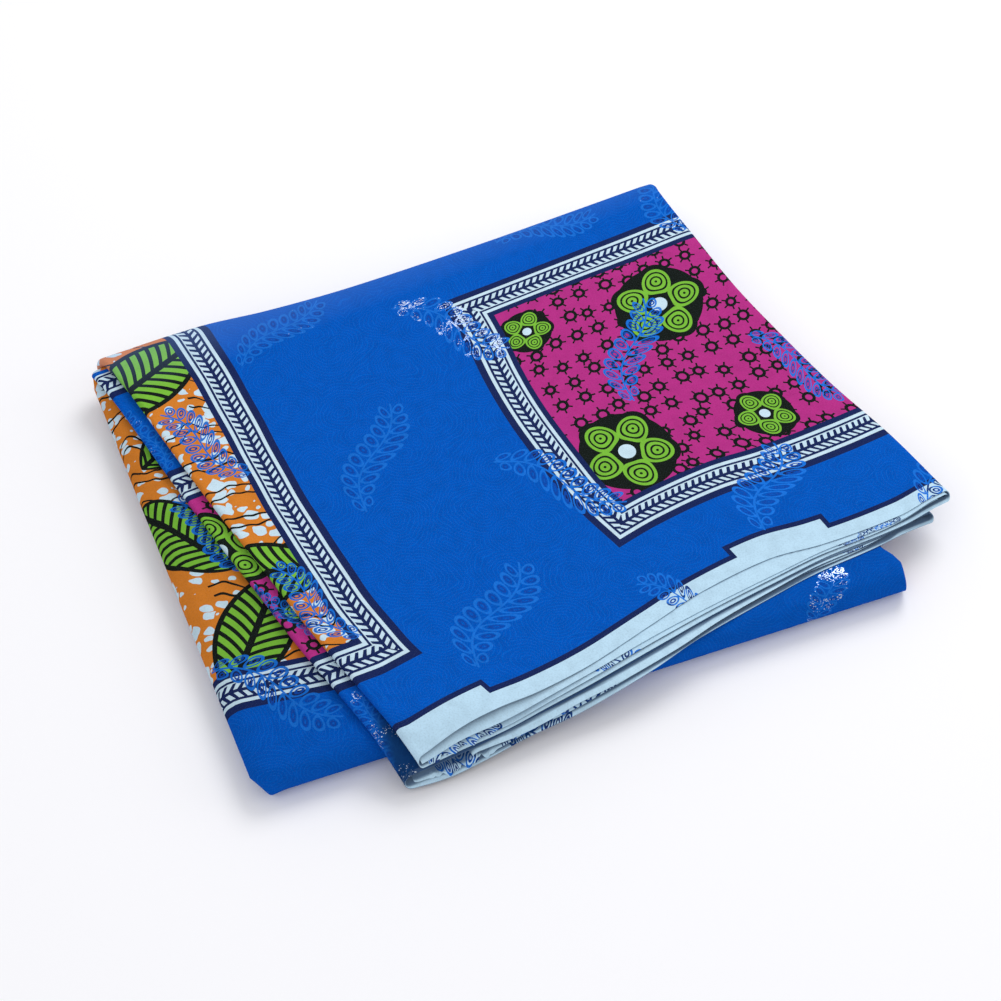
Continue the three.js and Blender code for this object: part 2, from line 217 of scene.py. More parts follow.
def shade_under_lip(rank, x, y):
    """How much painted shade a point takes in the gap under the leaf above, from 0 in the open. That leaf's
    rank is one less, but over the lowest leaf's right end the inner leaves stop short and leave its roll's
    own roof."""
    s = front_fraction(x)
    above = lip(rank - 1, x)
    if rank == LOWEST_RANK:
        above = mix(above, lip(LOWER_ROOF_RANK, x), smooth(s, *INNER_LEAVES_STOP))
    wide = 1
    if rank in WIDE_LIP_SHADE["ranks"]:
        wide = 1 + WIDE_LIP_SHADE["more"] * (1 - smooth(s, *WIDE_LIP_SHADE["fades"]))
    return LIP_SHADE["depth"] * smooth(y - above, LIP_SHADE["starts"] * wide, LIP_SHADE["full"] * wide)


def reach(rank, s):
    """How far a leaf's front edge lies past the topmost leaf's, whose rank is 0."""
    if rank == 0:
        return 0 * s
    share = (rank - 1) / (LOWEST_RANK - 1)
    return mix(curve(FRONT_EDGE, "s", "first", s), curve(FRONT_EDGE, "s", "fan", s), share)


def places_across(left, right, half_left, half_right, steps):
    """Places across a roll from tip to tip: x, and the rise of its rounded side there."""
    angles = np.radians(np.linspace(0, 90, SIDE_POINTS))
    flat = np.linspace(left + half_left, right - half_right, steps + 1)[1:-1]
    x = np.concatenate([
        left + half_left * (1 - np.cos(angles)), flat, right - half_right * (1 - np.cos(angles[::-1]))])
    rise = np.concatenate([np.sin(angles), np.ones(steps - 1), np.sin(angles[::-1])])
    return x, rise


def flap_row(roll, d, steps):
    """Plan of a row across the flap, d back from the front edge: x, y, s across, and rise."""
    rear = flap_sides(roll, REAR_ENDS[0])

    def y_at(s):
        return mix(curve(FRONT_EDGE, "s", "y", s), rear_axis(mix(*rear, s)), d / FLAP_DEPTH)

    left = float(flap_sides(roll, y_at(0.0))[0])
    right = float(flap_sides(roll, y_at(1.0))[1])
    halves = []
    for x, s in ((left, 0.0), (right, 1.0)):
        floor, top = flap_heights(roll, x, y_at(s))
        halves.append(float(top - floor) / 2)
    x, rise = places_across(left, right, *halves, steps)
    s = (x - left) / (right - left)
    return x, y_at(s), s, rise


# Their print's layout, in millimetres: u across the cloth and v back from its selvedge. The flap, the lower
# roll's edge and the base each have a stretch of v to themselves. A row is one panel, tab, motif or sprig.
LOWER_V = 2000
BASE_V = -2000
SPRIG_LENGTH = 90
PANELS = (
    {"kind": "magenta", "left": 30, "right": 290, "near": 56, "far": 300},
    {"kind": "magenta", "left": 30, "right": 290, "near": 640, "far": 900},
    {"kind": "orange", "left": -420, "right": -120, "near": 53, "far": 690},
    {"kind": "magenta", "left": -900, "right": 900, "near": 2056, "far": 2255},
    {"kind": "magenta", "left": -900, "right": 900, "near": 2331, "far": 2500},
    {"kind": "orange", "left": -90, "right": 165, "near": -2000, "far": -1600},
    {"kind": "orange", "left": -120, "right": 150, "near": -2480, "far": -2190},
    {"kind": "magenta", "left": 250, "right": 420, "near": -2400, "far": -2170},
)
TABS = (
    {"left": -300, "right": -111, "near": -10, "far": 17},
    {"left": 86, "right": 150, "near": -10, "far": 17},
)
MOTIFS = (
    {"kind": "rosette", "u": 88, "v": 118, "size": 36, "turn": 10},
    {"kind": "rosette", "u": 172, "v": 226, "size": 36, "turn": 40},
    {"kind": "rosette", "u": 190, "v": 108, "size": 22, "turn": 70},
    {"kind": "rosette", "u": 74, "v": 246, "size": 20, "turn": 25},
    {"kind": "leaf", "u": -178, "v": 330, "size": 50, "turn": 20},
    {"kind": "leaf", "u": -172, "v": 150, "size": 44, "turn": 160},
    {"kind": "leaf", "u": -200, "v": 450, "size": 46, "turn": 95},
    {"kind": "rosette", "u": -184, "v": 2182, "size": 33, "turn": 0},
    {"kind": "rosette", "u": -204, "v": 2120, "size": 20, "turn": 30},
    {"kind": "leaf", "u": 30, "v": -1944, "size": 48, "turn": 62},
    {"kind": "leaf", "u": -4, "v": -1858, "size": 46, "turn": 130},
    {"kind": "leaf", "u": 10, "v": -1770, "size": 40, "turn": 40},
    {"kind": "leaf", "u": 60, "v": -2320, "size": 55, "turn": 70},
    {"kind": "rosette", "u": 335, "v": -2290, "size": 36, "turn": 20},
)
SPRIGS = (
    {"u": -1, "v": 310, "turn": -49, "length": 92, "foil": 0.8},
    {"u": -90, "v": 164, "turn": 55, "length": 88, "foil": 0.3},
    {"u": 6, "v": 157, "turn": -52, "length": 92, "foil": 0.5},
    {"u": -101, "v": 30, "turn": 38, "length": 90, "foil": 0.3},
    {"u": 115, "v": 22, "turn": 47, "length": 86, "foil": 0.2},
    {"u": 117, "v": 156, "turn": 62, "length": 92, "foil": 0.45},
    {"u": 222, "v": 172, "turn": -67, "length": 80, "foil": 0.5},
    {"u": -114, "v": 312, "turn": 26, "length": 75, "foil": 0.5},
    {"u": 88, "v": 336, "turn": -5, "length": 75, "foil": 0.3},
    {"u": 219, "v": 283, "turn": 104, "length": 80, "foil": 0.5},
    {"u": -146, "v": 226, "turn": 117, "length": 78, "foil": 0.3},
    {"u": -143, "v": 84, "turn": 110, "length": 70, "foil": 0.3},
    {"u": 58, "v": -26, "turn": 128, "length": 66, "foil": 0.3},
    {"u": 218, "v": -4, "turn": 28, "length": 84, "foil": 0.3},
    {"u": 20, "v": 420, "turn": 130, "length": 90, "foil": 0.6},
    {"u": -60, "v": 395, "turn": 60, "length": 85, "foil": 0.5},
    {"u": 190, "v": 400, "turn": -30, "length": 85, "foil": 0.5},
    {"u": -198, "v": 2258, "turn": 96, "length": 60, "foil": 0.6},
    {"u": -190, "v": 2098, "turn": 82, "length": 52, "foil": 0.6},
    {"u": -192, "v": 1992, "turn": 92, "length": 60, "foil": 0.74},
    {"u": -138, "v": 2002, "turn": -14, "length": 74, "foil": 0.5},
    {"u": 130, "v": 2000, "turn": 16, "length": 60, "foil": 0.2},
    {"u": 200, "v": 3197, "turn": 14, "length": 34, "foil": 0.4},
    {"u": -94, "v": 3392, "turn": 21, "length": 58, "foil": 0.7},
    {"u": 12, "v": 3414, "turn": -20, "length": 72, "foil": 0.4},
    {"u": 222, "v": 3403, "turn": -18, "length": 32, "foil": 0.3},
    {"u": 330, "v": 4005, "turn": -22, "length": 34, "foil": 0.3},
    {"u": 54, "v": 4210, "turn": -24, "length": 56, "foil": 0.7},
    {"u": 98, "v": 4186, "turn": 17, "length": 92, "foil": 0.5},
    {"u": 282, "v": 4196, "turn": 16, "length": 42, "foil": 0.2},
    {"u": 45, "v": -1896, "turn": 128, "length": 84, "foil": 0.3},
    {"u": 0, "v": -1966, "turn": -36, "length": 88, "foil": 0.4},
    {"u": 368, "v": -2034, "turn": 68, "length": 58, "foil": 0.84},
    {"u": 170, "v": -2060, "turn": -10, "length": 84, "foil": 0.4},
    {"u": 300, "v": -2150, "turn": 110, "length": 84, "foil": 0.4},
    {"u": 100, "v": -2150, "turn": 170, "length": 84, "foil": 0.4},
    {"u": 200, "v": -2330, "turn": 70, "length": 84, "foil": 0.4},
)
KINDS = {"magenta": 1.0, "orange": 2.0, "rosette": 1.0, "leaf": 2.0}

# Where the orange panel's right edge and the magenta panel's left and far edge lie on the flap. The cloth is
# pulled askew.
PANEL_EDGES = {
    "y": (-160, -130, -100, -76, -53, -31, -8, 15, 39, 63, 87, 111, 137, 163, 190, 216),
    "orange": (-78, -90, -101, -106.6, -111.3, -113.8, -116.4, -118.5, -120.6, -121.5, -122.5, -122.8,
               -123.9, -124.9, -127.2, -129.5),
    "magenta": (66, 58, 50, 43.6, 37.2, 32, 29.3, 27.2, 25.4, 24.9, 25.6, 27.4, 28.5, 28.6, 29, 29.4),
}
ORANGE_U = -120
MAGENTA_U = 30
FAR_EDGE = {"v": 300, "x": 28, "y": 167, "slope": 0.088}
BASE_CORNER = {"x": -222, "y": -91, "turn": -9.5}


def flap_print(x, y):
    """u and v on the flap's top leaf."""
    orange = curve(PANEL_EDGES, "y", "orange", y)
    magenta = curve(PANEL_EDGES, "y", "magenta", y)
    u = mix(ORANGE_U, MAGENTA_U, (x - orange) / (magenta - orange))
    front = curve(FRONT_EDGE, "s", "y", front_fraction(x))
    far = FAR_EDGE["y"] + FAR_EDGE["slope"] * (x - FAR_EDGE["x"])
    return u, FAR_EDGE["v"] * (y - front) / (far - front)


def base_print(x, y):
    """u and v on the base, whose print is turned a little."""
    turn = math.radians(BASE_CORNER["turn"])
    along_x = x - BASE_CORNER["x"]
    along_y = y - BASE_CORNER["y"]
    u = along_x * math.cos(turn) + along_y * math.sin(turn)
    v = along_y * math.cos(turn) - along_x * math.sin(turn)
    return u, v + BASE_V


def rect_sides(u, v, box):
    """How far inside a box's sides u and v are, across and along."""
    middle_u = (box["left"] + box["right"]) / 2
    middle_v = (box["near"] + box["far"]) / 2
    across = (box["right"] - box["left"]) / 2 - np.abs(u - middle_u)
    along = (box["far"] - box["near"]) / 2 - np.abs(v - middle_v)
    return across, along


def in_motif(u, v, motif):
    """u and v from a motif's middle, turned with it."""
    turn = math.radians(motif["turn"])
    du = u - motif["u"]
    dv = v - motif["v"]
    return du * math.cos(turn) + dv * math.sin(turn), dv * math.cos(turn) - du * math.sin(turn)


def print_attributes(mesh, u, v, edge, painted_shade):
    """Writes each face corner's place in the nearest panel, tab, motif and sprig. All arrays hold one value
    a corner, four to a face."""
    centre_u = u.mean(axis=1)
    centre_v = v.mean(axis=1)

    def write(name, a, b, c):
        data = np.stack([a, b, c], axis=-1).reshape(-1, 3).astype(np.float32)
        mesh.attributes.new(name, "FLOAT_VECTOR", "CORNER").data.foreach_set("vector", data.ravel())

    def pick(rows, place, score):
        """Each corner's place in the row that is nearest its face's centre."""
        best = np.argmin([score(*place(centre_u, centre_v, row), row) for row in rows], axis=0)
        a = np.zeros_like(u)
        b = np.zeros_like(u)
        for i, row in enumerate(rows):
            chosen = best == i
            a[chosen], b[chosen] = place(u[chosen], v[chosen], row)
        return a, b, best

    across, along, best = pick(PANELS, rect_sides, lambda a, b, row: -np.minimum(a, b))
    kinds = np.array([KINDS[row["kind"]] for row in PANELS])[best]
    write("panel", across, along, np.repeat(kinds[:, None], 4, axis=1))

    across, along, best = pick(TABS, rect_sides, lambda a, b, row: -np.minimum(a, b))
    write("hem", across, along, edge)

    a, b, best = pick(MOTIFS, in_motif, lambda a, b, row: np.hypot(a, b) / row["size"])
    size = np.array([row["size"] for row in MOTIFS])[best][:, None]
    kinds = np.array([KINDS[row["kind"]] for row in MOTIFS])[best]
    write("motif", a / size, b / size, np.repeat(kinds[:, None], 4, axis=1))

    def from_sprig(a, b, row):
        past = np.maximum(np.abs(a - row["length"] / 2) - row["length"] / 2, 0)
        return np.hypot(past, b)

    a, b, best = pick(SPRIGS, in_motif, from_sprig)
    scale = SPRIG_LENGTH / np.array([row["length"] for row in SPRIGS])[best][:, None]
    foil = np.array([row["foil"] for row in SPRIGS])[best]
    write("sprig", a * scale, b * scale, np.repeat(foil[:, None], 4, axis=1))
    # The print attribute also carries each corner's painted shade as its third value.
    write("print", u, v, painted_shade)


# Their mesh, its bake map, and what a piece tells the frame.
MILLIMETRE = 0.001
CREASE = math.radians(50)
BAKE_MARGIN = 0.01


def cloth_piece(name, loops, prints, edges, painted_shades, material, node):
    """A closed piece of cloth through loops of points, all with the same count. At each point prints holds u
    and v, edges the distance from the selvedge, and painted_shades how much painted shade it takes, in the
    gap below a leaf or on the strip beside the flap."""
    rows, count = loops.shape[:2]
    points = loops.reshape(-1, 3).copy()
    points[:, 0] -= MIDDLE[0]
    points[:, 1] -= MIDDLE[1]
    r, k = np.meshgrid(np.arange(rows - 1), np.arange(count), indexing="ij")
    r = r.ravel()
    k = k.ravel()
    after = (k + 1) % count
    here = r * count
    beyond = here + count
    walls = np.stack([here + k, here + after, beyond + after, beyond + k], axis=1)
    i = np.arange(1, count // 2 - 1)
    cap = np.stack([i, count - i, count - i - 1, i + 1], axis=1)
    end = (rows - 1) * count
    faces = np.concatenate([walls, cap, end + cap[:, ::-1]])
    mesh = bpy.data.meshes.new(name)
    mesh.vertices.add(len(points))
    mesh.vertices.foreach_set("co", (points * MILLIMETRE).ravel())
    mesh.loops.add(faces.size)
    mesh.loops.foreach_set("vertex_index", faces.ravel())
    mesh.polygons.add(len(faces))
    mesh.polygons.foreach_set("loop_start", np.arange(0, faces.size, 4))
    mesh.polygons.foreach_set("loop_total", np.full(len(faces), 4))
    mesh.update(calc_edges=True)
    mesh.polygons.foreach_set("use_smooth", np.ones(len(faces), bool))
    mesh.set_sharp_from_angle(angle=CREASE)

    flat_prints = prints.reshape(-1, 2)
    print_attributes(mesh, flat_prints[faces, 0], flat_prints[faces, 1], edges.reshape(-1)[faces],
                     painted_shades.reshape(-1)[faces])

    # The bake map: round the piece along U and from end to end along V.
    bake = np.empty((len(faces), 4, 2), np.float32)
    along = np.stack([r, r, r + 1, r + 1], axis=1) / (rows - 1)
    bake[:len(walls), :, 0] = np.stack([k, k + 1, k + 1, k], axis=1) / count
    bake[:len(walls), :, 1] = BAKE_MARGIN + (1 - 2 * BAKE_MARGIN) * along
    bake[len(walls):, :, 0] = faces[len(walls):] % count / count
    at_start = np.arange(2 * len(cap)) < len(cap)
    bake[len(walls):, :, 1] = np.where(at_start, BAKE_MARGIN / 2, 1 - BAKE_MARGIN / 2)[:, None]
    layer = mesh.uv_layers.new(name="OFBake")
    layer.data.foreach_set("uv", bake.ravel())

    piece = bpy.data.objects.new(name, mesh)
    bpy.context.collection.objects.link(piece)
    mesh.materials.append(material)
    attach(piece, "root")
    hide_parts(node)
    return piece


# Their cotton. A node graph paints the ground, the panels with their borders and fields, the selvedge, the
# big motifs and the foil sprigs, from the places that the print leaves on each piece of cloth, and painted
# shade and a painted sheen.
class Field:
    """A number that varies over the cloth: a socket of the material's node tree."""

    tree = None

    def __init__(self, socket):
        self.socket = socket

    @classmethod
    def node(cls, kind, inputs, **settings):
        node = cls.tree.nodes.new(kind)
        for key, value in settings.items():
            setattr(node, key, value)
        for key, value in inputs.items():
            if isinstance(value, Field):
                cls.tree.links.new(value.socket, node.inputs[key])
            else:
                node.inputs[key].default_value = value
        return node

    def math(self, operation, *others):
        inputs = dict(enumerate((self, *others)))
        return Field(Field.node("ShaderNodeMath", inputs, operation=operation).outputs[0])

    def __add__(self, other):
        return self.math("ADD", other)

    def __sub__(self, other):
        return self.math("SUBTRACT", other)

    def __mul__(self, other):
        return self.math("MULTIPLY", other)

    def __truediv__(self, other):
        return self.math("DIVIDE", other)

    def above(self, other):
        return self.math("GREATER_THAN", other)

    def below(self, other):
        return self.math("LESS_THAN", other)

    def near(self, middle, half):
        return self.math("COMPARE", middle, half)

    def within(self, low, high):
        return self.math("COMPARE", (low + high) / 2, (high - low) / 2)

    def most(self, other):
        return self.math("MAXIMUM", other)

    def least(self, other):
        return self.math("MINIMUM", other)


def attribute(name):
    node = Field.node("ShaderNodeAttribute", {}, attribute_name=name)
    split = Field.node("ShaderNodeSeparateXYZ", {0: Field(node.outputs["Vector"])})
    return [Field(socket) for socket in split.outputs]


def vector(x, y):
    return Field(Field.node("ShaderNodeCombineXYZ", {0: x, 1: y}).outputs[0])


def noise(place, scale, detail=2.0):
    node = Field.node("ShaderNodeTexNoise", {"Vector": place, "Scale": scale, "Detail": detail})
    return Field(node.outputs[0])


def scatter(place, pitch, **inputs):
    """Cells strewn over the cloth, about a pitch apart."""
    inputs.update({"Vector": place, "Scale": 1 / pitch})
    return Field.node("ShaderNodeTexVoronoi", inputs, voronoi_dimensions="2D")


def chance(cells):
    """A number from 0 to 1 that differs from cell to cell."""
    return Field(Field.node("ShaderNodeSeparateColor", {0: Field(cells.outputs["Color"])}).outputs[0])


def distance(a, b):
    return a.math("POWER", 2.0).math("ADD", b.math("POWER", 2.0)).math("SQRT")


def paint(base, colour, mask):
    """base with a colour laid over it where mask is 1."""
    node = Field.tree.nodes.new("ShaderNodeMix")
    node.data_type = "RGBA"
    Field.tree.links.new(mask.socket, node.inputs[0])
    for slot, value in ((6, base), (7, colour)):
        if isinstance(value, Field):
            Field.tree.links.new(value.socket, node.inputs[slot])
        else:
            node.inputs[slot].default_value = (*value, 1)
    return Field(node.outputs[2])


ROYAL = (0.0, 0.088, 0.49)
NAVY = (0.010, 0.020, 0.098)
PALE = (0.60, 0.78, 0.89)
HEM = (0.53, 0.75, 0.91)
MAGENTA = (0.47, 0.030, 0.235)
ORANGE = (0.68, 0.215, 0.024)
GREEN = (0.20, 0.51, 0.045)
BLACK = (0.008, 0.011, 0.008)
SWIRL = (0.0, 0.14, 0.64)
FOIL = (0.008, 0.15, 0.62)
FOIL_CORE = (0.004, 0.06, 0.36)
SILVER = (0.72, 0.80, 0.90)
DARK = (0.0, 0.0, 0.0)
LINT = (0.6, 0.8, 1.0)
REAR_SHEEN_COLOUR = (0.25, 0.42, 0.85)
PAINTED_SHADE_COLOUR = (0.006, 0.035, 0.12)

wax_print = bpy.data.materials.new("wax_print_cotton")
wax_print.use_nodes = True
Field.tree = wax_print.node_tree
shader = Field.tree.nodes["Principled BSDF"]
# The print attribute gives u, v and the painted shade.
u, v, painted_shade = attribute("print")
place = vector(u, v)

# Ground, with faint swirls tone on tone.
SWIRL_PITCH = 36
SWIRL_DRIFT = 30
SWIRL_LINES = 46
SWIRL_LINE = 0.35
drift = noise(place, 0.018, 3.0)
rings = scatter(vector(u + drift * SWIRL_DRIFT, v - drift * SWIRL_DRIFT), SWIRL_PITCH)
swirl = (Field(rings.outputs["Distance"]) * SWIRL_LINES).math("SINE").near(0.0, SWIRL_LINE)
colour = paint(ROYAL, SWIRL, swirl * 0.38 + drift * 0.12)

# Panels: the border's bands from the outer edge inwards, its herringbone, and the fields.
BORDER = (
    {"from": 0, "colour": NAVY},
    {"from": 5.0, "colour": PALE},
    {"from": 7.5, "colour": NAVY},
    {"from": 9.1, "colour": PALE},
    {"from": 20.4, "colour": NAVY},
    {"from": 22.0, "colour": PALE},
    {"from": 24.5, "colour": NAVY},
)
BORDER_WIDTH = 28.6
RAMP_WIDTH = 40
SPINE = {"at": 14.5, "half": 1.1}
BARB = {"pitch": 5.4, "reach": 5.3, "slant": 0.8, "root": 0.56, "taper": -0.03}
across, along, kind = attribute("panel")
inside = across.least(along)
bands = Field.node("ShaderNodeValToRGB", {0: inside / RAMP_WIDTH})
ramp = bands.color_ramp
ramp.interpolation = "CONSTANT"
while len(ramp.elements) < len(BORDER):
    ramp.elements.new(0.5)
for element, band in zip(ramp.elements, BORDER):
    element.position = band["from"] / RAMP_WIDTH
    element.color = (*band["colour"], 1)
sideways = across.below(along)
run = u + (v - u) * sideways
from_spine = (inside - SPINE["at"]).math("ABSOLUTE")
barb = ((run - from_spine * BARB["slant"]) / BARB["pitch"]).math("FRACT")
barb = barb.below(from_spine * BARB["taper"] + BARB["root"]) * from_spine.below(BARB["reach"])
herringbone = barb.most(from_spine.below(SPINE["half"]))
colour = paint(colour, Field(bands.outputs[0]), inside.above(0.0))
colour = paint(colour, NAVY, herringbone * inside.above(0.0))

# Magenta field: cogs, each a ring with short spokes.
COG = {"pitch": 17, "radius": 3.0, "spread": 1.1, "line": 1.15}
SPOKES = {"count": 6, "length": 4.0, "half": 0.66, "turns": 9}
cogs = scatter(place, COG["pitch"], Randomness=0.4)
to_cog = Field.node(
    "ShaderNodeVectorMath", {0: place, 1: Field(cogs.outputs["Position"])}, operation="SUBTRACT")
split_cog = Field.node("ShaderNodeSeparateXYZ", {0: Field(to_cog.outputs[0])})
cog_x = Field(split_cog.outputs[0])
cog_y = Field(split_cog.outputs[1])
cog_r = distance(cog_x, cog_y)
cog_chance = chance(cogs)
past_cog = cog_r - (cog_chance * COG["spread"] + COG["radius"])
turned = cog_y.math("ARCTAN2", cog_x) * (SPOKES["count"] / math.tau) + cog_chance * SPOKES["turns"]
from_spoke = (turned.math("FRACT") - 0.5) * cog_r * (math.tau / SPOKES["count"])
spokes = from_spoke.near(0.0, SPOKES["half"]) * past_cog.within(0.0, SPOKES["length"])
cog = past_cog.near(0.0, COG["line"]).most(spokes)
magenta = paint(MAGENTA, BLACK, cog)

# Orange field: rounded pale blotches, and pairs of crooked black lines.
BLOT_PITCH = 9.2
BLOT_SIZE = 0.74
LANE = {"pitch": 27, "first": 4.0, "second": 11.5, "half": 0.75, "wander": 34, "slope": 0.12}
bend = noise(place, 0.12, 1.0)
blots = scatter(vector(u * 0.85 + bend * 7, v * 1.1 - bend * 6), BLOT_PITCH, Randomness=0.85)
crowd = ((noise(place, 0.03, 0.0) - 0.40) * 6.0).most(0.65).least(1.0)
blot = Field(blots.outputs["Distance"]).below((chance(blots) - 0.05) * BLOT_SIZE * crowd)
orange = paint(ORANGE, PALE, blot)
wander = (noise(vector(u, v * 0.3), 0.045, 1.0) - 0.5) * LANE["wander"]
lane = v + wander + u * LANE["slope"]
pair = (lane / LANE["pitch"]).math("FRACT") * LANE["pitch"]
stroke = pair.near(LANE["first"], LANE["half"]).most(pair.near(LANE["second"], LANE["half"]))
broken = noise(vector(u, v * 0.25), 0.03, 0.0).above(0.42)
orange = paint(orange, BLACK, stroke * broken)

is_orange = kind.above(1.5)
field = paint(magenta, orange, is_orange)

# Big motifs: a rosette of ringed petals, and a striped leaf. Their sizes are shares of the motif's own.
PETALS = {"count": 5, "at": 0.58, "radius": 0.36, "rings": 3.3, "gap": 0.36, "edge": 0.97, "backing": 1.22}
ROSETTE = {"radius": 0.93, "heart": 0.17}
STRIPED_LEAF = {"half": 0.52, "fullness": 0.75, "edge": 0.07, "midrib": 0.045, "veins": 6.5, "gap": 0.42}
motif_x, motif_y, motif_kind = attribute("motif")
motif_r = distance(motif_x, motif_y)
sector = (motif_y.math("ARCTAN2", motif_x) * (PETALS["count"] / math.tau)).math("FRACT") - 0.5
petal_across = sector * motif_r * (math.tau / PETALS["count"]) / PETALS["radius"]
petal = distance(petal_across, (motif_r - PETALS["at"]) / PETALS["radius"])
petal_ring = (petal * PETALS["rings"] + 0.1).math("FRACT").above(PETALS["gap"])
rosette_green = petal.below(PETALS["edge"]) * petal_ring
rosette = motif_r.below(ROSETTE["radius"]).most(petal.below(PETALS["backing"]))
heart = motif_r.below(ROSETTE["heart"])
fullness = (motif_x.math("POWER", 2.0) * -1.0 + 1.0).most(0.0).math("POWER", STRIPED_LEAF["fullness"])
leaf_width = fullness * STRIPED_LEAF["half"]
leaf_side = motif_y.math("ABSOLUTE")
leaf = leaf_side.below(leaf_width)
vein = (motif_x - leaf_side * 0.9) * STRIPED_LEAF["veins"] + leaf_side * leaf_side * 4.0
vein = vein.math("FRACT").above(STRIPED_LEAF["gap"]) * leaf_side.above(STRIPED_LEAF["midrib"])
leaf_green = leaf_side.below(leaf_width - STRIPED_LEAF["edge"]) * vein
is_leaf = motif_kind.above(1.5)
motif = rosette + (leaf - rosette) * is_leaf
motif_green = rosette_green + (leaf_green - rosette_green) * is_leaf
field = paint(field, BLACK, motif)
field = paint(field, GREEN, motif_green * motif)
field = paint(field, PALE, heart * (is_leaf * -1.0 + 1.0))
colour = paint(colour, field, inside.above(BORDER_WIDTH))

# The selvedge: a pale hem with a navy line, stepped back where a maker's words would stand.
HEM_WIDTH = 9.6
HEM_LINE = 3.4
tab_across, tab_along, edge = attribute("hem")
hem = (edge * -1.0 + HEM_WIDTH).most(tab_across.least(tab_along))
colour = paint(colour, NAVY, hem.above(-HEM_LINE))
colour = paint(colour, HEM, hem.above(0.0))

# Foil sprigs: a curved stem with looped leaflets on alternate sides, drawn in outline.
STEM = {"half": 0.7, "bow": 7.0, "wave": 96, "from": -2.0, "to": SPRIG_LENGTH}
LEAFLET = {"pitch": 8.8, "slant": 0.5, "longest": 12.5, "shortest": 1.5, "half": 3.8, "flare": 0.8,
           "from": 1.0, "to": 88.0, "reach": 92}
LOOP_LINE = (0.70, 1.04)
CORE = {"half": 1.6, "long": 0.48, "at": 0.1, "line": (0.5, 1.15)}
sprig_x, sprig_y, foil = attribute("sprig")
bow = (sprig_x * (math.tau / STEM["wave"])).math("SINE") * STEM["bow"]
stem_off = sprig_y - bow
off = stem_off.math("ABSOLUTE")
alternate = stem_off.above(0.0) * (LEAFLET["pitch"] / 2)
slanted = sprig_x - off * LEAFLET["slant"] + alternate
number = (slanted / LEAFLET["pitch"]).math("FLOOR")
leaflet_x = ((slanted / LEAFLET["pitch"]).math("FRACT") - 0.5) * LEAFLET["pitch"]
share = ((number * LEAFLET["pitch"] + LEAFLET["pitch"] / 2) / LEAFLET["reach"]).most(0.0).least(1.0)
taper = (share * math.pi).math("SINE").most(0.0).math("POWER", 0.45)
length = taper * LEAFLET["longest"] + LEAFLET["shortest"]
leaflet_y = (off - 0.8) / length * 2.0 - 1.0
loop = distance(leaflet_x / (leaflet_y * LEAFLET["flare"] + LEAFLET["half"]), leaflet_y)
present = slanted.within(LEAFLET["from"], LEAFLET["to"])
outline = loop.within(*LOOP_LINE) * present
core = distance(leaflet_x / CORE["half"], (leaflet_y - CORE["at"]) / CORE["long"])
core = core.within(*CORE["line"]) * present
stem = off.below(STEM["half"]) * sprig_x.within(STEM["from"], STEM["to"])
sprig = outline.most(core).most(stem)
fleck = noise(place, 0.95)
glint = noise(place, 0.07)
silver = sprig * (glint * 0.6 + fleck * 0.5 + foil * 0.4).above(0.95)
shade = paint(FOIL, FOIL_CORE, core)
colour = paint(colour, shade, sprig * (fleck + 0.48).least(1.0))
inked = sprig * hem.above(0.0) * glint.above(0.49)
colour = paint(colour, NAVY, inked * 0.8)

# Weave and finish: plain weave threads, the foil standing a little proud, and a crisp calendered face. Over
# them lie a painted sheen along the rear fold and painted shade in the gaps and on the base.
THREAD = 0.42
RELIEF = {"weave": 0.25, "slub": 0.8, "foil": 0.7, "swirl": 0.15}
RELIEF_HEIGHT = 0.00012
REAR_SHEEN_BAND = {"v": 318.0, "width": 45, "ends": 430.0}
BASE_PAINTED_SHADE = (-2600.0, -1500.0)
weave = (u * (math.pi / THREAD)).math("SINE") * (v * (math.pi / THREAD)).math("SINE")
slub = noise(place, 1.6)
height = weave * RELIEF["weave"] + slub * RELIEF["slub"] + sprig * RELIEF["foil"] + swirl * RELIEF["swirl"]
bump = Field.node("ShaderNodeBump", {"Strength": 0.35, "Distance": RELIEF_HEIGHT, "Height": height})
grain = noise(place, 0.9)
colour = paint(colour, DARK, (grain - 0.45).most(0.0) * 0.45)
mottle = noise(place, 0.11, 4.0)
colour = paint(colour, DARK, (mottle - 0.4).most(0.0) * 0.35)
colour = paint(colour, LINT, (slub - 0.5).most(0.0) * 0.16)
# A painted sheen, lighter, along the rear fold where its curve catches the light.
rear_sheen = ((v - REAR_SHEEN_BAND["v"]) / REAR_SHEEN_BAND["width"]).most(0.0).least(1.0) * v.below(REAR_SHEEN_BAND["ends"])
colour = paint(colour, REAR_SHEEN_COLOUR, rear_sheen * 0.14)
# Painted shade, a deep blue, in the gaps between leaves and on the strip beside the flap.
colour = paint(colour, PAINTED_SHADE_COLOUR, painted_shade)
colour = paint(colour, SILVER, silver * 0.7)
# Painted shade over the base, which lies under the flap.
colour = paint(colour, DARK, v.within(*BASE_PAINTED_SHADE) * 0.13)
FINISH = {
    "Base Color": colour,
    "Metallic": silver * 0.85 + sprig * 0.1,
    "Roughness": sprig * -0.22 + swirl * -0.05 + 0.62,
    "Normal": Field(bump.outputs[0]),
}
for socket, value in FINISH.items():
    Field.tree.links.new(value.socket, shader.inputs[socket])
shader.inputs["Specular IOR Level"].default_value = 0.0
shader.inputs["Sheen Weight"].default_value = 0.008
shader.inputs["Sheen Roughness"].default_value = 0.5
shader.inputs["Sheen Tint"].default_value = (0.75, 0.8, 1.0, 1)

